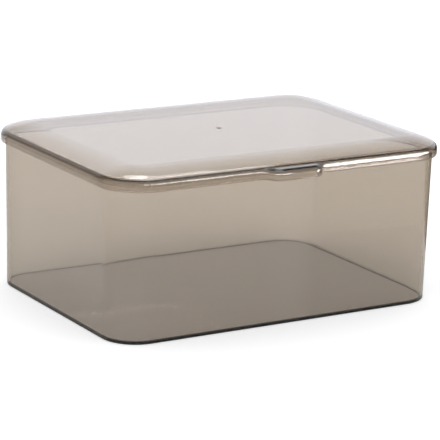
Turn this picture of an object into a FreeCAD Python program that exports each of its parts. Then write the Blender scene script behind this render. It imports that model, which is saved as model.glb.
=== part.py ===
import FreeCAD, Part
import math
import os
import Sketcher
from FreeCAD import Vector

# Clear storage box: a moulded tub with leaning walls, and a lid that lifts straight off it.
# The origin is the middle of the tub's base. +Z is up, -Y is the front, where the finger tab is.

# Driving dimensions in millimetres: name, value, what it measures
SIZES = (
    ("tub_width", "305", "tub across the rim, side to side"),
    ("tub_depth", "221", "tub across the rim, front to back"),
    ("tub_height", "129.5", "table to rim"),
    ("tub_corner", "31", "radius of the upright corners at the rim"),
    ("tub_draft", "2", "lean of each wall between base and rim"),
    ("tub_wall", "2.2", "wall thickness"),
    ("tub_floor", "1.8", "floor thickness"),
    ("heel_radius", "1.2", "rounding outside, where the wall meets the table"),
    ("cove_radius", "2", "rounding inside, where the wall meets the floor"),
    ("lip_reach", "0.5", "rim lip beyond the wall"),
    ("lip_height", "3.5", "height of the rim lip"),
    ("lip_round", "0.4", "rounding of the rim's top edges"),
    ("lid_gap", "0.4", "clearance between rim lip and skirt"),
    ("skirt_wall", "2.8", "thickness of the skirt"),
    ("skirt_drop", "7.5", "skirt's lower edge below the rim"),
    ("skirt_round", "2.3", "rounding of the skirt's lower edge"),
    ("lead_in", "0.3", "relief inside the skirt's lower part"),
    ("lead_height", "4.5", "height of that relief"),
    ("seat_width", "1", "width of the lid's seat on the rim"),
    ("edge_level", "2.3", "corner of the lid's outer edge above the rim, before it is rounded"),
    ("shoulder_rise", "6.2", "height of the slope inside that edge, before it is rounded"),
    ("shoulder_inset", "15", "width of that slope, seen from above"),
    ("frame_width", "28.2", "outer edge and rounded shoulder together, seen from above"),
    ("lid_wall", "2.4", "thickness of the top"),
    ("tab_width", "66", "finger tab where it leaves the skirt"),
    ("tab_edge", "30", "straight outer edge of the finger tab"),
    ("tab_reach", "10", "finger tab beyond the skirt"),
    ("tab_root", "2", "start of the tab's curves inside the skirt's face"),
    ("tab_rise", "2", "tab's top above the rim"),
    ("tab_round", "4.5", "rounding of the tab's top edge"),
    ("gate_radius", "3", "dish of the gate mark"),
    ("gate_depth", "0.4", "depth of that dish"),
    ("pip_radius", "0.7", "cut-off stub in the dish"),
    ("pip_height", "0.3", "height of that stub"),
    ("overrun", "1", "how far a cut runs past the face it opens"),
)

# How much of the shoulder's slope the roundings at its two ends take up
EDGE_SHARE = 0.243
SHOULDER_SHARE = 0.75
# The most of the level stretch inside the shoulder that its rounding takes up
LEVEL_SHARE = 0.96

# Sizes worked out from the driving dimensions
LID_OVERHANG = "(sizes.lip_reach + sizes.lid_gap + sizes.skirt_wall)"
LID_WIDTH = f"(sizes.tub_width + 2 * {LID_OVERHANG})"
LID_DEPTH = f"(sizes.tub_depth + 2 * {LID_OVERHANG})"
LID_CORNER = f"(sizes.tub_corner + {LID_OVERHANG})"
SKIRT_FOOT = "(sizes.tub_height - sizes.skirt_drop)"
EDGE_LEVEL = "(sizes.tub_height + sizes.edge_level)"
LID_TOP = f"({EDGE_LEVEL} + sizes.shoulder_rise)"
SHOULDER_RUN = "(sqrt(sizes.shoulder_inset ^ 2 + sizes.shoulder_rise ^ 2))"
SHOULDER_SLOPE = "atan(sizes.shoulder_rise / sizes.shoulder_inset)"
LEVEL_RUN = "(sizes.frame_width - sizes.shoulder_inset)"
SHOULDER_TURN = f"min({SHOULDER_SHARE} * {SHOULDER_RUN}; {LEVEL_SHARE} * {LEVEL_RUN})"
SHOULDER_ROUND = f"({SHOULDER_TURN} / tan({SHOULDER_SLOPE} / 2))"
EDGE_ROUND = f"({EDGE_SHARE} * {SHOULDER_RUN} / tan((90 deg - {SHOULDER_SLOPE}) / 2))"
SEAT_INSET = "(sizes.skirt_wall + sizes.lid_gap + sizes.seat_width)"
TAB_TOP = "(sizes.tub_height + sizes.tab_rise)"
TAB_SIDE = "((sizes.tab_width - sizes.tab_edge) / 2)"
TAB_RUN = "(sizes.tab_reach + sizes.tab_root)"
TAB_ARC = f"(({TAB_SIDE} ^ 2 + {TAB_RUN} ^ 2) / (4 * {TAB_RUN}))"

UP = Vector(0, 0, 1)
RIGHT_ANGLE = math.pi / 2

doc = FreeCAD.newDocument("storage_box")
sheet = doc.addObject("Spreadsheet::Sheet", "sizes")
for row, (name, value, meaning) in enumerate(SIZES, start=1):
    sheet.set(f"A{row}", meaning)
    sheet.set(f"B{row}", value)
    sheet.setAlias(f"B{row}", name)
doc.recompute()


def value_of(text):
    """The present value of a size or formula."""
    return float(sheet.evalExpression(text))


def origin_item(body, role):
    """One of the body's own origin planes or axes."""
    return next(item for item in body.Origin.OriginFeatures if item.Role == role)


def new_body(name):
    body = doc.addObject("PartDesign::Body", name)
    body.Label = name
    return body


def new_sketch(body, name, level="0", plane="XY_Plane"):
    """An empty sketch on one of the body's planes, raised to a level."""
    sketch = body.newObject("Sketcher::SketchObject", name)
    sketch.AttachmentSupport = [(origin_item(body, plane), "")]
    sketch.MapMode = "FlatFace"
    sketch.setExpression("AttachmentOffset.Base.z", level)
    return sketch


def dimension(sketch, name, constraint, text):
    """A named dimension of the sketch that follows a formula."""
    index = sketch.addConstraint(constraint)
    sketch.renameConstraint(index, name)
    sketch.setExpression(f"Constraints.{name}", text)


def rounded_rectangle(sketch, width, depth, radius):
    """A rectangle with four equal corner arcs about the sketch's origin."""
    x = value_of(width) / 2
    y = value_of(depth) / 2
    r = value_of(radius)
    corners = ((x - r, r - y, -1), (x - r, y - r, 0), (r - x, y - r, 1), (r - x, r - y, 2))
    ends = (
        (Vector(r - x, -y), Vector(x - r, -y)),
        (Vector(x, r - y), Vector(x, y - r)),
        (Vector(x - r, y), Vector(r - x, y)),
        (Vector(-x, y - r), Vector(-x, r - y)),
    )
    lines = []
    arcs = []
    for (start, end), (cx, cy, turn) in zip(ends, corners):
        lines.append(sketch.addGeometry(Part.LineSegment(start, end)))
        circle = Part.Circle(Vector(cx, cy), UP, r)
        arcs.append(sketch.addGeometry(Part.ArcOfCircle(circle, turn * RIGHT_ANGLE, (turn + 1) * RIGHT_ANGLE)))
    for index in range(4):
        sketch.addConstraint(Sketcher.Constraint("Tangent", lines[index], 2, arcs[index], 1))
        sketch.addConstraint(Sketcher.Constraint("Tangent", arcs[index], 2, lines[(index + 1) % 4], 1))
    for index, way in enumerate(("Horizontal", "Vertical", "Horizontal", "Vertical")):
        sketch.addConstraint(Sketcher.Constraint(way, lines[index]))
    for arc in arcs[1:]:
        sketch.addConstraint(Sketcher.Constraint("Equal", arcs[0], arc))
    sketch.addConstraint(Sketcher.Constraint("Symmetric", arcs[0], 3, arcs[2], 3, -1, 1))
    dimension(sketch, "width", Sketcher.Constraint("DistanceX", lines[3], 1, lines[1], 1, 2 * x), width)
    dimension(sketch, "depth", Sketcher.Constraint("DistanceY", lines[0], 1, lines[2], 1, 2 * y), depth)
    dimension(sketch, "radius", Sketcher.Constraint("Radius", arcs[0], r), radius)


def front_profile(sketch, corners):
    """A closed outline in the front wall's upright plane. Each corner has its distance in front of the origin,
    its level and, where it is rounded, its radius."""
    spots = [Vector(-value_of(ahead), value_of(level)) for ahead, level, radius in corners]
    count = len(corners)
    starts = list(spots)
    ends = list(spots)
    bends = {}
    for index, (ahead, level, radius) in enumerate(corners):
        if radius is None:
            continue
        back = (spots[index - 1] - spots[index]).normalize()
        on = (spots[(index + 1) % count] - spots[index]).normalize()
        half = back.getAngle(on) / 2
        size = value_of(radius)
        ends[index] = spots[index] + back * (size / math.tan(half))
        starts[index] = spots[index] + on * (size / math.tan(half))
        centre = spots[index] + (back + on).normalize() * (size / math.sin(half))
        left_turn = back.cross(on).z < 0
        first, last = (ends[index], starts[index]) if left_turn else (starts[index], ends[index])
        circle = Part.Circle(centre, UP, size)
        bends[index] = (Part.ArcOfCircle(circle, circle.parameter(first), circle.parameter(last)), left_turn)
    lines = []
    for index in range(count):
        after = (index + 1) % count
        lines.append(sketch.addGeometry(Part.LineSegment(starts[index], ends[after])))
    for index, (ahead, level, radius) in enumerate(corners):
        before = lines[index - 1]
        after = lines[index]
        if radius is None:
            sketch.addConstraint(Sketcher.Constraint("Coincident", before, 2, after, 1))
            place_point(sketch, f"corner{index}", after, corners[index])
            continue
        bend, left_turn = bends[index]
        arc = sketch.addGeometry(bend)
        entry, leave = (1, 2) if left_turn else (2, 1)
        sketch.addConstraint(Sketcher.Constraint("Tangent", before, 2, arc, entry))
        sketch.addConstraint(Sketcher.Constraint("Tangent", arc, leave, after, 1))
        dimension(sketch, f"round{index}", Sketcher.Constraint("Radius", arc, value_of(radius)), radius)
        tip = sketch.addGeometry(Part.Point(spots[index]))
        sketch.addConstraint(Sketcher.Constraint("PointOnObject", tip, 1, before))
        sketch.addConstraint(Sketcher.Constraint("PointOnObject", tip, 1, after))
        place_point(sketch, f"corner{index}", tip, corners[index])


def place_point(sketch, name, item, corner):
    """Dimensions that hold the first point of an item at a corner of a profile."""
    ahead, level, radius = corner
    if ahead == "0":
        sketch.addConstraint(Sketcher.Constraint("PointOnObject", item, 1, -2))
    else:
        forward = Sketcher.Constraint("DistanceX", item, 1, -1, 1, value_of(ahead))
        dimension(sketch, f"{name}_ahead", forward, ahead)
    if level == "0":
        sketch.addConstraint(Sketcher.Constraint("PointOnObject", item, 1, -1))
    else:
        upward = Sketcher.Constraint("DistanceY", -1, 1, item, 1, value_of(level))
        dimension(sketch, f"{name}_level", upward, level)


def lid_section(body, name, level, inset):
    """The lid's outline, moved in by an inset, at a level."""
    sketch = new_sketch(body, name, level)
    rounded_rectangle(sketch, f"{LID_WIDTH} - 2 * {inset}", f"{LID_DEPTH} - 2 * {inset}", f"{LID_CORNER} - {inset}")
    return sketch


def tab_outline(sketch, wall):
    """The finger tab's outline, moved in by a wall: two S curves of two arcs each, joined by a straight edge."""
    side = value_of("sizes.tab_width / 2")
    edge = value_of("sizes.tab_edge / 2")
    face = value_of(f"{LID_DEPTH} / 2")
    inside = value_of(f"sizes.tab_root + {wall}")
    reach = value_of(f"sizes.tab_reach - {wall}")
    arc = value_of(TAB_ARC)
    thick = value_of(wall)
    root = inside - face
    tip = -face - reach
    back = root + value_of("sizes.frame_width - sizes.tab_root")
    turn = 2 * math.atan2(value_of(TAB_RUN), value_of(TAB_SIDE))

    def bend(x, y, radius, start, end):
        return sketch.addGeometry(Part.ArcOfCircle(Part.Circle(Vector(x, y), UP, radius), start, end))

    def run(start, end):
        return sketch.addGeometry(Part.LineSegment(start, end))

    left_root = bend(-side, root - arc - thick, arc + thick, RIGHT_ANGLE - turn, RIGHT_ANGLE)
    left_tip = bend(-edge, tip + arc - thick, arc - thick, 3 * RIGHT_ANGLE - turn, 3 * RIGHT_ANGLE)
    front = run(Vector(-edge, tip), Vector(edge, tip))
    right_tip = bend(edge, tip + arc - thick, arc - thick, 3 * RIGHT_ANGLE, 3 * RIGHT_ANGLE + turn)
    right_root = bend(side, root - arc - thick, arc + thick, RIGHT_ANGLE, RIGHT_ANGLE + turn)
    right_end = run(Vector(side, root), Vector(side, back))
    rear = run(Vector(side, back), Vector(-side, back))
    left_end = run(Vector(-side, back), Vector(-side, root))
    for first, first_end, second, second_end in (
        (left_root, 1, left_tip, 1),
        (left_tip, 2, front, 1),
        (front, 2, right_tip, 1),
        (right_tip, 2, right_root, 2),
    ):
        sketch.addConstraint(Sketcher.Constraint("Tangent", first, first_end, second, second_end))
    for first, first_end, second, second_end in (
        (right_root, 1, right_end, 1),
        (right_end, 2, rear, 1),
        (rear, 2, left_end, 1),
        (left_end, 2, left_root, 2),
    ):
        sketch.addConstraint(Sketcher.Constraint("Coincident", first, first_end, second, second_end))
    sketch.addConstraint(Sketcher.Constraint("Vertical", right_end))
    sketch.addConstraint(Sketcher.Constraint("Horizontal", rear))
    sketch.addConstraint(Sketcher.Constraint("Vertical", left_end))
    sketch.addConstraint(Sketcher.Constraint("Vertical", left_root, 3, left_root, 2))
    sketch.addConstraint(Sketcher.Constraint("Vertical", right_root, 3, right_root, 1))
    sketch.addConstraint(Sketcher.Constraint("Symmetric", left_root, 2, right_root, 1, -2))
    sketch.addConstraint(Sketcher.Constraint("Symmetric", front, 1, front, 2, -2))
    wide = Sketcher.Constraint("DistanceX", left_root, 2, right_root, 1, 2 * side)
    dimension(sketch, "root_width", wide, "sizes.tab_width")
    flat = Sketcher.Constraint("DistanceX", front, 1, front, 2, 2 * edge)
    dimension(sketch, "edge_width", flat, "sizes.tab_edge")
    far = Sketcher.Constraint("DistanceY", front, 1, -1, 1, -tip)
    dimension(sketch, "edge_place", far, f"{LID_DEPTH} / 2 + sizes.tab_reach - {wall}")
    near = Sketcher.Constraint("DistanceY", left_root, 2, -1, 1, -root)
    dimension(sketch, "root_place", near, f"{LID_DEPTH} / 2 - sizes.tab_root - {wall}")
    deep = Sketcher.Constraint("DistanceY", left_end, 2, left_end, 1, back - root)
    dimension(sketch, "rear_place", deep, "sizes.frame_width - sizes.tab_root")
    for name, tip_arc in (("left", left_tip), ("right", right_tip)):
        tight = Sketcher.Constraint("Radius", tip_arc, arc - thick)
        dimension(sketch, f"{name}_radius", tight, f"{TAB_ARC} - {wall}")


def pad(body, name, sketch, length):
    feature = body.newObject("PartDesign::Pad", name)
    feature.Profile = sketch
    feature.setExpression("Length", length)
    doc.recompute()
    return feature


def pocket_up(body, name, sketch, length):
    """A cut that rises from its sketch."""
    before = body.Shape.Volume
    feature = body.newObject("PartDesign::Pocket", name)
    feature.Profile = sketch
    feature.Reversed = True
    feature.setExpression("Length", length)
    doc.recompute()
    if not body.Shape.Volume < before:
        raise RuntimeError(f"{name} cuts nothing")
    return feature


def sweep(body, name, profile, path, kind="AdditivePipe"):
    """A profile carried round a closed path."""
    feature = body.newObject(f"PartDesign::{kind}", name)
    feature.Profile = profile
    feature.Spine = path
    doc.recompute()
    return feature


def front_edges(feature, level, ahead):
    """Names of the feature's edges that lie wholly at a level and reach past a distance in front of the origin."""
    height = value_of(level)
    limit = -value_of(ahead)
    close = feature.Shape.getTolerance(1)
    names = []
    for index, edge in enumerate(feature.Shape.Edges, start=1):
        box = edge.BoundBox
        if max(abs(box.ZMin - height), abs(box.ZMax - height)) <= close and box.YMin < limit:
            names.append(f"Edge{index}")
    return names


def fillet(body, name, feature, edges, radius):
    rounding = body.newObject("PartDesign::Fillet", name)
    rounding.Base = (feature, edges)
    rounding.setExpression("Radius", radius)
    doc.recompute()
    return rounding


# Tub: a wall swept round the base, with its rounded heel, cove and rim lip, and a floor plate inside it
def build_tub():
    body = new_body("tub")
    front = "(sizes.tub_depth / 2)"
    base = f"({front} - sizes.tub_draft)"
    foot = f"({base} - sizes.tub_wall - 2 * sizes.cove_radius)"
    lip_level = "(sizes.tub_height - sizes.lip_height)"
    lean = "(sizes.tub_draft / sizes.tub_height)"
    path = new_sketch(body, "tub_path")
    base_corner = "(sizes.tub_corner - sizes.tub_draft)"
    base_width = "(sizes.tub_width - 2 * sizes.tub_draft)"
    rounded_rectangle(path, base_width, f"2 * {base}", base_corner)
    wall = new_sketch(body, "tub_wall_profile", f"{base_corner} - {base_width} / 2", "YZ_Plane")
    front_profile(wall, (
        (foot, "0", None),
        (base, "0", "sizes.heel_radius"),
        (f"{front} - {lean} * sizes.lip_height", lip_level, None),
        (f"{front} + sizes.lip_reach", lip_level, None),
        (f"{front} + sizes.lip_reach", "sizes.tub_height", "sizes.lip_round"),
        (f"{front} - sizes.tub_wall", "sizes.tub_height", "sizes.lip_round"),
        (f"{base} + {lean} * sizes.tub_floor - sizes.tub_wall", "sizes.tub_floor", "sizes.cove_radius"),
        (foot, "sizes.tub_floor", None),
    ))
    sweep(body, "tub_walls", wall, path)
    plate = new_sketch(body, "floor_outline")
    inset = "(sizes.tub_draft + sizes.tub_wall + 3 * sizes.cove_radius / 2)"
    rounded_rectangle(
        plate,
        f"sizes.tub_width - 2 * {inset}",
        f"sizes.tub_depth - 2 * {inset}",
        f"sizes.tub_corner - {inset}",
    )
    pad(body, "floor_plate", plate, "sizes.tub_floor")
    return body


def add_frame(body):
    """The lid's outer edge and shoulder, carried round its outline, with the level block inside them."""
    front = f"({LID_DEPTH} / 2)"
    inner = f"({front} - sizes.frame_width)"
    path = lid_section(body, "lid_path", SKIRT_FOOT, "0")
    profile = new_sketch(body, "frame_profile", f"{LID_CORNER} - {LID_WIDTH} / 2", "YZ_Plane")
    front_profile(profile, (
        (inner, SKIRT_FOOT, None),
        (front, SKIRT_FOOT, "sizes.skirt_round"),
        (front, EDGE_LEVEL, EDGE_ROUND),
        (f"{front} - sizes.shoulder_inset", LID_TOP, SHOULDER_ROUND),
        (inner, LID_TOP, None),
    ))
    sweep(body, "frame", profile, path)
    core = lid_section(body, "core_outline", SKIRT_FOOT, "sizes.frame_width")
    pad(body, "core", core, f"{LID_TOP} - {SKIRT_FOOT}")
    return path


def hollow_frame(body, path):
    """The hollow inside the seat, under the shoulder and the level top, which leaves a wall of one thickness."""
    front = f"({LID_DEPTH} / 2)"
    seat = f"({front} - {SEAT_INSET})"
    inner = f"({front} - sizes.frame_width)"
    step_level = f"{EDGE_LEVEL} + {SEAT_INSET} * tan({SHOULDER_SLOPE}) - sizes.lid_wall / cos({SHOULDER_SLOPE})"
    corner = f"{front} - sizes.shoulder_inset - sizes.lid_wall * tan({SHOULDER_SLOPE} / 2)"
    roof = f"({LID_TOP} - sizes.lid_wall)"
    profile = new_sketch(body, "hollow_profile", f"{LID_CORNER} - {LID_WIDTH} / 2", "YZ_Plane")
    front_profile(profile, (
        (inner, "sizes.tub_height", None),
        (seat, "sizes.tub_height", None),
        (seat, step_level, None),
        (corner, roof, f"{SHOULDER_ROUND} - sizes.lid_wall"),
        (inner, roof, None),
    ))
    sweep(body, "shoulder_hollow", profile, path, "SubtractivePipe")
    core = lid_section(body, "core_hollow_outline", "sizes.tub_height", "sizes.frame_width")
    pocket_up(body, "core_hollow", core, f"{roof} - sizes.tub_height")


def add_gate_mark(body):
    """The shallow dish and cut-off stub left in the middle of the top by moulding."""
    dish = new_sketch(body, "gate_profile", plane="YZ_Plane")
    front_profile(dish, (
        ("0", f"{LID_TOP} - sizes.gate_depth", None),
        ("sizes.gate_radius", LID_TOP, None),
        ("sizes.gate_radius", f"{LID_TOP} + sizes.overrun", None),
        ("0", f"{LID_TOP} + sizes.overrun", None),
    ))
    before = body.Shape.Volume
    groove = body.newObject("PartDesign::Groove", "gate_dish")
    groove.Profile = dish
    groove.ReferenceAxis = (dish, ["V_Axis"])
    doc.recompute()
    if not body.Shape.Volume < before:
        raise RuntimeError("gate_dish cuts nothing")
    middle = f"({LID_TOP} - sizes.lid_wall / 2)"
    stub = new_sketch(body, "gate_stub_outline", middle)
    circle = stub.addGeometry(Part.Circle(Vector(0, 0), UP, value_of("sizes.pip_radius")))
    stub.addConstraint(Sketcher.Constraint("Coincident", circle, 3, -1, 1))
    round_stub = Sketcher.Constraint("Radius", circle, value_of("sizes.pip_radius"))
    dimension(stub, "stub_radius", round_stub, "sizes.pip_radius")
    pad(body, "gate_stub", stub, f"{LID_TOP} - sizes.gate_depth + sizes.pip_height - {middle}")


# Lid: a frame with a bulging finger tab, a rounded shoulder and a level top, hollowed from below
def build_lid():
    body = new_body("lid")
    tab_sketch = new_sketch(body, "tab_outline", SKIRT_FOOT)
    tab_outline(tab_sketch, "0")
    tab = pad(body, "tab_block", tab_sketch, f"{TAB_TOP} - {SKIRT_FOOT}")
    face = f"{LID_DEPTH} / 2"
    rounded_tab = fillet(body, "tab_rounding", tab, front_edges(tab, TAB_TOP, face), "sizes.tab_round")
    fillet(body, "tab_heel", rounded_tab, front_edges(rounded_tab, SKIRT_FOOT, face), "sizes.skirt_round")
    path = add_frame(body)
    skirt_hollow = lid_section(body, "skirt_hollow_outline", SKIRT_FOOT, "sizes.skirt_wall")
    pocket_up(body, "skirt_hollow", skirt_hollow, "sizes.skirt_drop")
    lead_wall = "(sizes.skirt_wall - sizes.lead_in)"
    lead = lid_section(body, "lead_outline", SKIRT_FOOT, lead_wall)
    pocket_up(body, "skirt_lead", lead, "sizes.lead_height")
    tab_hollow = new_sketch(body, "tab_hollow_outline", SKIRT_FOOT)
    tab_outline(tab_hollow, "sizes.skirt_wall")
    pocket_up(body, "tab_hollow", tab_hollow, f"{TAB_TOP} - sizes.lid_wall - {SKIRT_FOOT}")
    tab_lead = new_sketch(body, "tab_lead_outline", SKIRT_FOOT)
    tab_outline(tab_lead, lead_wall)
    pocket_up(body, "tab_lead", tab_lead, "sizes.lead_height")
    hollow_frame(body, path)
    add_gate_mark(body)
    return body


parts = [build_tub(), build_lid()]
doc.recompute()
for item in doc.Objects:
    if "Invalid" in item.State or "Error" in item.State:
        raise RuntimeError(f"{item.Name} failed: {item.State}")
for part in parts:
    if part.Shape.isNull() or not part.Shape.isValid() or len(part.Shape.Solids) != 1:
        raise RuntimeError(f"{part.Label} has no sound solid")

os.makedirs("parts", exist_ok=True)
for part in parts:
    part.Shape.exportStep(f"parts/{part.Label}.step")
    box = part.Shape.BoundBox
    print(part.Label, f"volume {part.Shape.Volume:.1f}", f"z {box.ZMin:.2f} to {box.ZMax:.2f}")
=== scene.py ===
import math

import bmesh
import bpy
from mathutils import Matrix, Vector


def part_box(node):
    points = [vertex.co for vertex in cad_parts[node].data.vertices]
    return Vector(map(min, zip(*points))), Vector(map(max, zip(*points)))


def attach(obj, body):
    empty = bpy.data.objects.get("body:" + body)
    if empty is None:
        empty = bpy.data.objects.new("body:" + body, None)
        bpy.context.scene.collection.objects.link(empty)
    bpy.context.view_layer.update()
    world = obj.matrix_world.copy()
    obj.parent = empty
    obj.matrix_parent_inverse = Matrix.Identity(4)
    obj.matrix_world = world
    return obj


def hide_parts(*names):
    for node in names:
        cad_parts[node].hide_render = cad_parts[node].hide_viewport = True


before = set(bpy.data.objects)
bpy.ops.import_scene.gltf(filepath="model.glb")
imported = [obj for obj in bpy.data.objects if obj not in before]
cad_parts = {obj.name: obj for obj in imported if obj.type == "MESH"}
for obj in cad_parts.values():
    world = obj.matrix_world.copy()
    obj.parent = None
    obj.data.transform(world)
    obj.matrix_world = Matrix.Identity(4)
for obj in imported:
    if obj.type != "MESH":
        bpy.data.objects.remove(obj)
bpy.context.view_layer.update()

tub_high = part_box("tub")[1]
lid_low, lid_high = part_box("lid")

# Sizes in metres. What the frame gives is read from it, and the rest are the mouldings' own small sizes.
RIM = tub_high.z
LIP_REACH = 0.0005
LIP_HEIGHT = 0.0035
LIP_ROUND = 0.0004
TUB_DRAFT = 0.002
TUB_WALL = 0.0022
TUB_FLOOR = 0.0018
TUB_CORNER = 0.031 + LIP_REACH
HEEL_RADIUS = 0.0012
COVE_RADIUS = 0.002
FINE_ROUND = 0.0003

SKIRT_FOOT = lid_low.z
LID_TOP = lid_high.z
LID_FACE = lid_high.y
LID_CORNER = TUB_CORNER + lid_high.x - tub_high.x
SKIRT_WALL = 0.0028
SKIRT_ROUND = 0.0023
LEAD_IN = 0.0003
LEAD_HEIGHT = 0.0045
SEAT_INSET = 0.0042
SEAT_MIDDLE = (SKIRT_WALL + SEAT_INSET) / 2
LID_WALL = 0.0024

EDGE_LEVEL = RIM + 0.0023
SHOULDER_INSET = 0.015
SHOULDER_RISE = LID_TOP - EDGE_LEVEL
SHOULDER_RUN = math.hypot(SHOULDER_INSET, SHOULDER_RISE)
SHOULDER_SLOPE = math.atan2(SHOULDER_RISE, SHOULDER_INSET)
SHOULDER_ROUND = 0.75 * SHOULDER_RUN / math.tan(SHOULDER_SLOPE / 2)
EDGE_TURN = 0.243 * SHOULDER_RUN
EDGE_ROUND = EDGE_TURN / math.tan((math.pi / 2 - SHOULDER_SLOPE) / 2)
FRAME_WIDTH = 0.0282

TAB_REACH = -lid_low.y - LID_FACE
TAB_HALF_WIDTH = 0.033
TAB_HALF_EDGE = 0.015
TAB_ROOT = 0.002
TAB_TOP = RIM + 0.002
TAB_ROUND = 0.0045
TAB_BLEND = 0.003
TAB_RUN = TAB_REACH + TAB_ROOT
TAB_SIDE = TAB_HALF_WIDTH - TAB_HALF_EDGE
TAB_ARC = (TAB_SIDE ** 2 + TAB_RUN ** 2) / (4 * TAB_RUN)
TAB_TURN = 2 * math.atan2(TAB_RUN, TAB_SIDE)

GATE_RADIUS = 0.003
GATE_DEPTH = 0.0004
PIP_RADIUS = 0.0007
PIP_HEIGHT = 0.0003

# How finely the meshes are divided
CORNER_STEPS = 28
ARC_STEP = math.radians(9)
ARC_PIECE = 0.002
TAB_STEPS = 16
TAB_TOP_SHARES = (0, 0.05, 0.5, 0.9)
EDGE_STEPS = 12
SIDE_STEPS = 8
MERGE_DISTANCE = 1e-6
FLAT_WEIGHT = 100

# Sides of an outline from the front round to the left: the way along each one and the way out of it
SIDES = (
    (Vector((1, 0)), Vector((0, -1))),
    (Vector((0, 1)), Vector((1, 0))),
    (Vector((-1, 0)), Vector((0, 1))),
    (Vector((0, -1)), Vector((-1, 0))),
)


# Outlines seen from above
def tab_columns():
    """Places across the front where the finger tab's curves need a point."""
    right = []
    for step in range(TAB_STEPS + 1):
        turn = TAB_TURN * step / TAB_STEPS
        right.append(TAB_HALF_WIDTH - TAB_ARC * math.sin(turn))
        right.append(TAB_HALF_EDGE + TAB_ARC * math.sin(turn))
    right += [TAB_HALF_EDGE / 2, TAB_HALF_WIDTH + TAB_ROOT, TAB_HALF_WIDTH + TAB_ROUND + TAB_ROOT]
    return sorted({round(x * way, 7) for x in right for way in (-1, 1)} | {0.0})


def side_shares(side):
    """Places along the straight stretch of a side, from -1 to 1."""
    plain = [2 * step / SIDE_STEPS - 1 for step in range(SIDE_STEPS + 1)]
    if side != 0:
        return plain
    straight = lid_high.x - LID_CORNER
    tab = [x / straight for x in tab_columns()]
    return sorted([share for share in plain if abs(share) > tab[-1]] + tab)


def outline(half_x, half_y, radius):
    """Points round a rounded rectangle, each with its side's number, or None on a corner."""
    points = []
    for side, (along, out) in enumerate(SIDES):
        length, face = (half_x, half_y) if side % 2 == 0 else (half_y, half_x)
        straight = length - radius
        for share in side_shares(side):
            points.append((along * straight * share + out * face, side))
        centre = along * straight + out * (face - radius)
        for step in range(1, CORNER_STEPS):
            turn = math.pi / 2 * step / CORNER_STEPS
            points.append((centre + (out * math.cos(turn) + along * math.sin(turn)) * radius, None))
    return points


# Profiles: chains of corners, each with its inset, its level and the radius that rounds it
def rounded(corners):
    """The chain's points, with an arc at each corner that has a radius."""
    spots = [Vector((inset, level)) for inset, level, radius in corners]
    points = []
    for index, (inset, level, radius) in enumerate(corners):
        if not radius:
            points.append(spots[index])
            continue
        back = (spots[index - 1] - spots[index]).normalized()
        on = (spots[index + 1] - spots[index]).normalized()
        half = back.angle(on) / 2
        centre = spots[index] + (back + on).normalized() * (radius / math.sin(half))
        start = (spots[index] + back * (radius / math.tan(half)) - centre).normalized()
        end = (spots[index] + on * (radius / math.tan(half)) - centre).normalized()
        bend = math.pi - 2 * half
        count = max(2, math.ceil(bend / ARC_STEP), math.ceil(bend * radius / ARC_PIECE))
        for step in range(count + 1):
            points.append(centre + start.slerp(end, step / count) * radius)
    return points


def loft(name, rings):
    """A closed mesh through rings that have as many points each. The first and last ring are filled."""
    mesh = bmesh.new()
    loops = [[mesh.verts.new(point) for point in ring] for ring in rings]
    count = len(loops[0])
    for lower, upper in zip(loops, loops[1:]):
        for index in range(count):
            after = (index + 1) % count
            mesh.faces.new((lower[index], lower[after], upper[after], upper[index]))
    mesh.faces.new(loops[-1])
    mesh.faces.new(list(reversed(loops[0])))
    bmesh.ops.remove_doubles(mesh, verts=mesh.verts, dist=MERGE_DISTANCE)
    bmesh.ops.recalc_face_normals(mesh, faces=mesh.faces)
    for face in mesh.faces:
        face.smooth = True
    data = bpy.data.meshes.new(name)
    mesh.to_mesh(data)
    mesh.free()
    piece = bpy.data.objects.new(name, data)
    bpy.context.scene.collection.objects.link(piece)
    # Large faces keep their own shading, so that a flat wall stays flat up to its roundings
    weighted = piece.modifiers.new("flat_walls", "WEIGHTED_NORMAL")
    weighted.weight = FLAT_WEIGHT
    weighted.mode = "FACE_AREA"
    return piece


# Tub
def tub_profile():
    """From under the floor, round the heel, up the wall, over the rim and down to the floor's top."""
    base = LIP_REACH + TUB_DRAFT
    lean = TUB_DRAFT / RIM
    lip_foot = RIM - LIP_HEIGHT
    deep = base + TUB_WALL + 3 * COVE_RADIUS
    return rounded((
        (deep, 0, None),
        (base, 0, HEEL_RADIUS),
        (LIP_REACH + lean * LIP_HEIGHT, lip_foot, FINE_ROUND),
        (0, lip_foot, FINE_ROUND),
        (0, RIM, LIP_ROUND),
        (LIP_REACH + TUB_WALL, RIM, LIP_ROUND),
        (base + TUB_WALL - lean * TUB_FLOOR, TUB_FLOOR, COVE_RADIUS),
        (deep, TUB_FLOOR, None),
    ))


def build_tub():
    rings = []
    for inset, level in tub_profile():
        shape = outline(tub_high.x - inset, tub_high.y - inset, TUB_CORNER - inset)
        rings.append([(*point, level) for point, side in shape])
    return loft("tub_moulding", rings)


# Lid
def tab_line(x, inset):
    """How far the finger tab's outline, moved in by an inset, stands in front of the skirt's face."""
    place = abs(x)
    join = TAB_HALF_EDGE + (TAB_ARC - inset) * TAB_SIDE / (2 * TAB_ARC)
    if place <= TAB_HALF_EDGE:
        return TAB_REACH - inset
    if place <= join:
        return TAB_REACH - TAB_ARC + math.sqrt((TAB_ARC - inset) ** 2 - (place - TAB_HALF_EDGE) ** 2)
    if place <= TAB_HALF_WIDTH:
        return TAB_ARC - TAB_ROOT - math.sqrt((TAB_ARC + inset) ** 2 - (TAB_HALF_WIDTH - place) ** 2)
    return -TAB_ROOT - inset


def further(first, second):
    """The larger of two distances, with a soft hand-over where they are close."""
    close = max(TAB_BLEND - abs(first - second), 0) / TAB_BLEND
    return max(first, second) + close ** 2 * TAB_BLEND / 4


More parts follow.
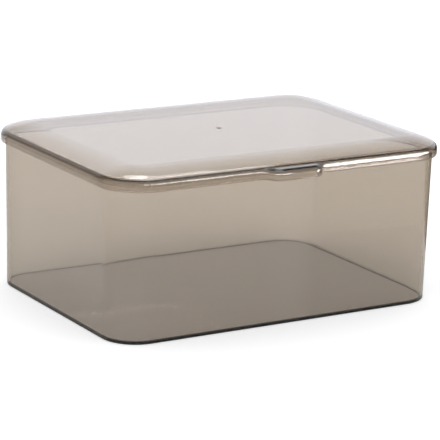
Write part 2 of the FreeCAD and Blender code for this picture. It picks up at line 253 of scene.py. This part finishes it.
def lid_ring(inset, level, tab_inset=None, tab_share=0):
    """The lid's outline moved in by an inset. With a tab inset, its front swells into the finger tab."""
    shape = outline(lid_high.x - inset, LID_FACE - inset, LID_CORNER - inset)
    ring = []
    for point, side in shape:
        ahead = 0
        if tab_inset is not None and side == 0:
            ahead = further(-inset, tab_line(point.x, tab_inset)) + inset
        ring.append((point.x, point.y - ahead * tab_share, level))
    return ring


def gate_rings():
    """The dish and cut-off stub of the gate mark in the middle of the top, from the stub's top outwards."""
    dish_foot = LID_TOP - GATE_DEPTH * (1 - PIP_RADIUS / GATE_RADIUS)
    stub_top = LID_TOP - GATE_DEPTH + PIP_HEIGHT
    profile = (
        (PIP_RADIUS - FINE_ROUND / 2, stub_top),
        (PIP_RADIUS, stub_top - FINE_ROUND / 2),
        (PIP_RADIUS, dish_foot),
        (PIP_RADIUS + FINE_ROUND, dish_foot),
        (GATE_RADIUS - FINE_ROUND, LID_TOP - FINE_ROUND / 4),
        (GATE_RADIUS, LID_TOP),
        (GATE_RADIUS + FINE_ROUND, LID_TOP),
        (2 * GATE_RADIUS, LID_TOP),
    )
    rings = []
    for radius, level in profile:
        ring = []
        for x, y, z in lid_ring(FRAME_WIDTH, LID_TOP):
            way = Vector((x, y)).normalized() * radius
            ring.append((way.x, way.y, level))
        rings.append(ring)
    return rings


def edge_rings():
    """Rings of the lid's edge, from the shoulder's inner end out and down to the skirt's lower edge."""
    turn_level = EDGE_LEVEL - EDGE_TURN

    def edge_inset(level):
        rise = max(level - turn_level, 0)
        return EDGE_ROUND - math.sqrt(EDGE_ROUND ** 2 - rise ** 2)

    above = rounded((
        (FRAME_WIDTH, LID_TOP, None),
        (SHOULDER_INSET, LID_TOP, SHOULDER_ROUND),
        (0, EDGE_LEVEL, EDGE_ROUND),
        (0, turn_level, None),
    ))
    rings = [lid_ring(inset, level) for inset, level in above if level > TAB_TOP + FINE_ROUND / 2]
    crease = edge_inset(TAB_TOP)
    for share in TAB_TOP_SHARES:
        rings.append(lid_ring(crease, TAB_TOP, tab_inset=TAB_ROUND, tab_share=share))
    for step in range(EDGE_STEPS, -1, -1):
        turn = math.pi / 2 * step / EDGE_STEPS
        level = TAB_TOP - TAB_ROUND * (1 - math.sin(turn))
        tab_inset = TAB_ROUND * (1 - math.cos(turn))
        rings.append(lid_ring(edge_inset(level), level, tab_inset=tab_inset, tab_share=1))
    return rings


def skirt_rings():
    """Rings of the skirt, from its face round its lower edge and up inside to the seat on the rim."""
    lead_wall = SKIRT_WALL - LEAD_IN
    profile = rounded((
        (0, SKIRT_FOOT + LEAD_HEIGHT, None),
        (0, SKIRT_FOOT, SKIRT_ROUND),
        (lead_wall, SKIRT_FOOT, FINE_ROUND),
        (lead_wall, SKIRT_FOOT + LEAD_HEIGHT, FINE_ROUND / 2),
        (SKIRT_WALL, SKIRT_FOOT + LEAD_HEIGHT + LEAD_IN, FINE_ROUND / 2),
        (SKIRT_WALL, RIM, FINE_ROUND / 2),
        (SEAT_MIDDLE, RIM, None),
    ))
    return [lid_ring(inset, level, tab_inset=inset, tab_share=1) for inset, level in profile[1:-1]]


def seat_rings():
    """Rings of the seat on the rim, of the step inside it and of the slope under the shoulder."""
    half_slope = SHOULDER_SLOPE / 2
    roof = LID_TOP - LID_WALL
    step_level = EDGE_LEVEL + SEAT_INSET * math.tan(SHOULDER_SLOPE) - LID_WALL / math.cos(SHOULDER_SLOPE)
    profile = rounded((
        (SEAT_MIDDLE, RIM, None),
        (SEAT_INSET, RIM, FINE_ROUND),
        (SEAT_INSET, step_level, FINE_ROUND),
        (SHOULDER_INSET + LID_WALL * math.tan(half_slope), roof, SHOULDER_ROUND - LID_WALL),
        (FRAME_WIDTH, roof, None),
    ))
    return [lid_ring(inset, level) for inset, level in profile]


def build_lid():
    return loft("lid_moulding", gate_rings() + edge_rings() + skirt_rings() + seat_rings())


# Material: clear plastic with a warm smoke tint in its depth
SMOKE_COLOUR = (0.43, 0.30, 0.13, 1)
SMOKE_DENSITY = 265
PLASTIC_IOR = 1.53
SHADOW_TINT = (0.82, 0.79, 0.76, 1)
# Faint smudges in the gloss, and the slight waves of a moulded surface
SMUDGE_SCALE = 22
SMUDGE_DETAIL = 4
SMUDGE_RANGE = (0.35, 0.75)
ROUGHNESS_RANGE = (0.012, 0.05)
WAVE_SCALE = 14
WAVE_DETAIL = 1
WAVE_STRENGTH = 0.25
WAVE_DEPTH = 0.0006


def smoke_plastic(name):
    material = bpy.data.materials.new(name)
    material.use_nodes = True
    tree = material.node_tree
    tree.nodes.clear()
    add = tree.nodes.new
    link = tree.links.new

    place = add("ShaderNodeTexCoord")
    smudge = add("ShaderNodeTexNoise")
    smudge.inputs["Scale"].default_value = SMUDGE_SCALE
    smudge.inputs["Detail"].default_value = SMUDGE_DETAIL
    link(place.outputs["Object"], smudge.inputs["Vector"])
    gloss = add("ShaderNodeMapRange")
    gloss.inputs["From Min"].default_value = SMUDGE_RANGE[0]
    gloss.inputs["From Max"].default_value = SMUDGE_RANGE[1]
    gloss.inputs["To Min"].default_value = ROUGHNESS_RANGE[0]
    gloss.inputs["To Max"].default_value = ROUGHNESS_RANGE[1]
    link(smudge.outputs["Fac"], gloss.inputs["Value"])

    wave = add("ShaderNodeTexNoise")
    wave.inputs["Scale"].default_value = WAVE_SCALE
    wave.inputs["Detail"].default_value = WAVE_DETAIL
    link(place.outputs["Object"], wave.inputs["Vector"])
    bump = add("ShaderNodeBump")
    bump.inputs["Strength"].default_value = WAVE_STRENGTH
    bump.inputs["Distance"].default_value = WAVE_DEPTH
    link(wave.outputs["Fac"], bump.inputs["Height"])

    plastic = add("ShaderNodeBsdfPrincipled")
    plastic.inputs["Base Color"].default_value = (1, 1, 1, 1)
    plastic.inputs["Transmission Weight"].default_value = 1
    plastic.inputs["IOR"].default_value = PLASTIC_IOR
    link(gloss.outputs["Result"], plastic.inputs["Roughness"])
    link(bump.outputs["Normal"], plastic.inputs["Normal"])

    # Lamps shine through the plastic instead of being stopped by it
    through = add("ShaderNodeBsdfTransparent")
    through.inputs["Color"].default_value = SHADOW_TINT
    rays = add("ShaderNodeLightPath")
    mix = add("ShaderNodeMixShader")
    link(rays.outputs["Is Shadow Ray"], mix.inputs["Fac"])
    link(plastic.outputs["BSDF"], mix.inputs[1])
    link(through.outputs["BSDF"], mix.inputs[2])

    tint = add("ShaderNodeVolumeAbsorption")
    tint.inputs["Color"].default_value = SMOKE_COLOUR
    tint.inputs["Density"].default_value = SMOKE_DENSITY

    out = add("ShaderNodeOutputMaterial")
    link(mix.outputs["Shader"], out.inputs["Surface"])
    link(tint.outputs["Volume"], out.inputs["Volume"])
    return material


# Floor: wide and pale, with what is added to its light for the rays that see it
FLOOR_HALF = 1.5
FLOOR_FRONT = -0.6
FLOOR_COLOUR = (0.8, 0.8, 0.8, 1)
FLOOR_DROP = 0.0002
FLOOR_LIFTS = (("Is Camera Ray", 0.45), ("Is Glossy Ray", 0.1), ("Is Transmission Ray", 0.1))


def build_floor():
    """A pale floor that takes the object's shadow, lifted to white where it is seen."""
    mesh = bmesh.new()
    bmesh.ops.create_grid(mesh, x_segments=1, y_segments=1, size=FLOOR_HALF)
    for corner in mesh.verts:
        corner.co.y = max(corner.co.y, FLOOR_FRONT)
    data = bpy.data.meshes.new("floor")
    mesh.to_mesh(data)
    mesh.free()
    floor = bpy.data.objects.new("floor", data)
    floor.location.z = -FLOOR_DROP
    bpy.context.scene.collection.objects.link(floor)
    material = bpy.data.materials.new("pale_floor")
    material.use_nodes = True
    tree = material.node_tree
    tree.nodes.clear()
    shader = tree.nodes.new("ShaderNodeBsdfDiffuse")
    shader.inputs["Color"].default_value = FLOOR_COLOUR
    rays = tree.nodes.new("ShaderNodeLightPath")
    total = shader.outputs["BSDF"]
    for ray, lift in FLOOR_LIFTS:
        share = tree.nodes.new("ShaderNodeMath")
        share.operation = "MULTIPLY"
        share.inputs[1].default_value = lift
        tree.links.new(rays.outputs[ray], share.inputs[0])
        glow = tree.nodes.new("ShaderNodeEmission")
        tree.links.new(share.outputs["Value"], glow.inputs["Strength"])
        both = tree.nodes.new("ShaderNodeAddShader")
        tree.links.new(total, both.inputs[0])
        tree.links.new(glow.outputs["Emission"], both.inputs[1])
        total = both.outputs["Shader"]
    out = tree.nodes.new("ShaderNodeOutputMaterial")
    tree.links.new(total, out.inputs["Surface"])
    data.materials.append(material)


# Studio: plain white light all round. The plastic shows a dim room with two backdrops instead, and the room
# is lighter where it is seen through the plastic.
WHITE = (1, 1, 1, 1)
ROOM_COLOUR = (0.06, 0.06, 0.065, 1)
ROOM_COLOUR_THROUGH = (0.3, 0.3, 0.31, 1)
BACKDROP_WAY = (0.52, 0.85, 0)
# Backdrops behind and in front of the box: where each begins and is full along that way, and its colour
BACKDROPS = (
    (0.3, 0.9, (1.3, 1.34, 1.46, 1)),
    (0.1, -0.3, (0.6, 0.61, 0.63, 1)),
)


def build_world():
    world = bpy.data.worlds.new("studio")
    world.use_nodes = True
    bpy.context.scene.world = world
    tree = world.node_tree
    tree.nodes.clear()
    way = tree.nodes.new("ShaderNodeTexCoord")
    along = tree.nodes.new("ShaderNodeVectorMath")
    along.operation = "DOT_PRODUCT"
    along.inputs[1].default_value = Vector(BACKDROP_WAY).normalized()
    tree.links.new(way.outputs["Generated"], along.inputs[0])
    rays = tree.nodes.new("ShaderNodeLightPath")
    room = tree.nodes.new("ShaderNodeMix")
    room.data_type = "RGBA"
    room.inputs["A"].default_value = ROOM_COLOUR
    room.inputs["B"].default_value = ROOM_COLOUR_THROUGH
    tree.links.new(rays.outputs["Is Transmission Ray"], room.inputs["Factor"])
    studio = room.outputs["Result"]
    for begin, full, colour in BACKDROPS:
        fade = tree.nodes.new("ShaderNodeMapRange")
        fade.interpolation_type = "SMOOTHSTEP"
        fade.inputs["From Min"].default_value = begin
        fade.inputs["From Max"].default_value = full
        tree.links.new(along.outputs["Value"], fade.inputs["Value"])
        backdrop = tree.nodes.new("ShaderNodeMix")
        backdrop.data_type = "RGBA"
        backdrop.inputs["B"].default_value = colour
        tree.links.new(studio, backdrop.inputs["A"])
        tree.links.new(fade.outputs["Result"], backdrop.inputs["Factor"])
        studio = backdrop.outputs["Result"]
    inside = tree.nodes.new("ShaderNodeMath")
    inside.operation = "MAXIMUM"
    tree.links.new(rays.outputs["Is Glossy Ray"], inside.inputs[0])
    tree.links.new(rays.outputs["Is Transmission Ray"], inside.inputs[1])
    seen = tree.nodes.new("ShaderNodeMix")
    seen.data_type = "RGBA"
    seen.inputs["A"].default_value = WHITE
    tree.links.new(studio, seen.inputs["B"])
    tree.links.new(inside.outputs["Value"], seen.inputs["Factor"])
    background = tree.nodes.new("ShaderNodeBackground")
    tree.links.new(seen.outputs["Result"], background.inputs["Color"])
    out = tree.nodes.new("ShaderNodeOutputWorld")
    tree.links.new(background.outputs["Background"], out.inputs["Surface"])


# Soft boxes that only the plastic shows. Those seen through it are cooler, against its warm tint.
THROUGH_COLOUR = (0.85, 0.95, 1.2)
# Name, middle, way it faces, width, height, brightness, spread in degrees, and whether it is seen in the
# plastic's gloss or through it
SOFT_BOXES = (
    ("top_box", (0.2, 0, 1.0), (0, 0, -1), 0.65, 0.9, 3, 180, "in"),
    ("corner_box", (-0.124, -0.079, 0.19), (-0.22, -0.36, -0.9), 0.035, 0.03, 0.7, 60, "in"),
    ("front_strip", (-0.055, -0.195, 0.141), (0, 1, 0), 0.19, 0.022, 14, 180, "in"),
    ("right_strip", (0.2135, -0.195, 0.13), (0, 1, 0), 0.253, 0.05, 22, 180, "in"),
    ("line_strip", (0.215, -0.195, 0.135), (-0.506, 0.824, 0.15), 0.25, 0.06, 20, 38, "through"),
)


def build_lamps():
    for name, middle, way, width, height, brightness, spread, seen in SOFT_BOXES:
        data = bpy.data.lights.new(name, "AREA")
        data.shape = "RECTANGLE"
        data.size = width
        data.size_y = height
        data.energy = brightness * math.pi * width * height
        data.spread = math.radians(spread)
        lamp = bpy.data.objects.new(name, data)
        lamp.location = middle
        lamp.rotation_euler = Vector(way).to_track_quat("-Z", "Y").to_euler()
        lamp.visible_camera = False
        lamp.visible_diffuse = False
        if seen == "through":
            data.color = THROUGH_COLOUR
        lamp.visible_glossy = seen == "in"
        lamp.visible_transmission = seen == "through"
        bpy.context.scene.collection.objects.link(lamp)


# Dark card behind the box to the right, out of the picture, which darkens the gloss of the plastic's right
# edge: its places along and across the camera's way, its height and its surface
CARD_ALONG = 0.13
CARD_ACROSS = (0.212, 0.8)
CARD_HEIGHT = 0.14
CARD_COLOUR = (0.02, 0.02, 0.02, 1)
CARD_ROUGHNESS = 0.9


def build_card():
    ahead = Vector((-math.sin(CAMERA_AZIMUTH), math.cos(CAMERA_AZIMUTH), 0)) * CARD_ALONG
    right = Vector((math.cos(CAMERA_AZIMUTH), math.sin(CAMERA_AZIMUTH), 0))
    near, far = (ahead + right * across for across in CARD_ACROSS)
    rise = Vector((0, 0, CARD_HEIGHT))
    data = bpy.data.meshes.new("dark_card")
    data.from_pydata([near, far, far + rise, near + rise], [], [(0, 1, 2, 3)])
    card = bpy.data.objects.new("dark_card", data)
    bpy.context.scene.collection.objects.link(card)
    material = bpy.data.materials.new("dark_card")
    material.use_nodes = True
    shader = material.node_tree.nodes["Principled BSDF"]
    shader.inputs["Base Color"].default_value = CARD_COLOUR
    shader.inputs["Roughness"].default_value = CARD_ROUGHNESS
    data.materials.append(material)
    card.visible_camera = False
    card.visible_diffuse = False
    card.visible_transmission = False
    card.visible_shadow = False


# Camera: worked out from the photo's perspective, in degrees, metres and pixels of a 440 pixel frame
FRAME_PIXELS = 440
FOCAL_PIXELS = 2375.8
SENSOR = 36
CAMERA_AZIMUTH = math.radians(-31.5614)
CAMERA_ELEVATION = math.radians(14.7124)
CAMERA_ROLL = math.radians(1.6308)
CAMERA_DISTANCE = 1.97834
CAMERA_AIM = Vector((0.003579, 0, 0.059426))


def build_camera():
    data = bpy.data.cameras.new("camera")
    data.sensor_width = SENSOR
    data.lens = FOCAL_PIXELS * SENSOR / FRAME_PIXELS
    camera = bpy.data.objects.new("camera", data)
    bpy.context.scene.collection.objects.link(camera)
    flat = math.cos(CAMERA_ELEVATION)
    back_x = math.sin(CAMERA_AZIMUTH) * flat
    back_y = -math.cos(CAMERA_AZIMUTH) * flat
    back = Vector((back_x, back_y, math.sin(CAMERA_ELEVATION)))
    right = Vector((math.cos(CAMERA_AZIMUTH), math.sin(CAMERA_AZIMUTH), 0))
    up = back.cross(right)
    rolled_right = right * math.cos(CAMERA_ROLL) + up * math.sin(CAMERA_ROLL)
    rolled_up = up * math.cos(CAMERA_ROLL) - right * math.sin(CAMERA_ROLL)
    turn = Matrix((rolled_right, rolled_up, back)).transposed()
    camera.matrix_world = Matrix.Translation(CAMERA_AIM + back * CAMERA_DISTANCE) @ turn.to_4x4()
    bpy.context.scene.camera = camera


# Light passes many walls of the box before it reaches the camera
LIGHT_BOUNCES = 32
GLOSSY_BOUNCES = 16

bpy.context.scene.view_settings.view_transform = "Standard"
bpy.context.scene.cycles.max_bounces = LIGHT_BOUNCES
bpy.context.scene.cycles.transmission_bounces = LIGHT_BOUNCES
bpy.context.scene.cycles.glossy_bounces = GLOSSY_BOUNCES
bpy.context.scene.cycles.caustics_reflective = False
bpy.context.scene.cycles.caustics_refractive = False

tub = build_tub()
tub.data.materials.append(smoke_plastic("smoke_plastic_tub"))
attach(tub, "tub")
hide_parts("tub")

lid = build_lid()
lid.data.materials.append(smoke_plastic("smoke_plastic_lid"))
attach(lid, "lid")
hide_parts("lid")

build_floor()
build_world()
build_lamps()
build_card()
build_camera()
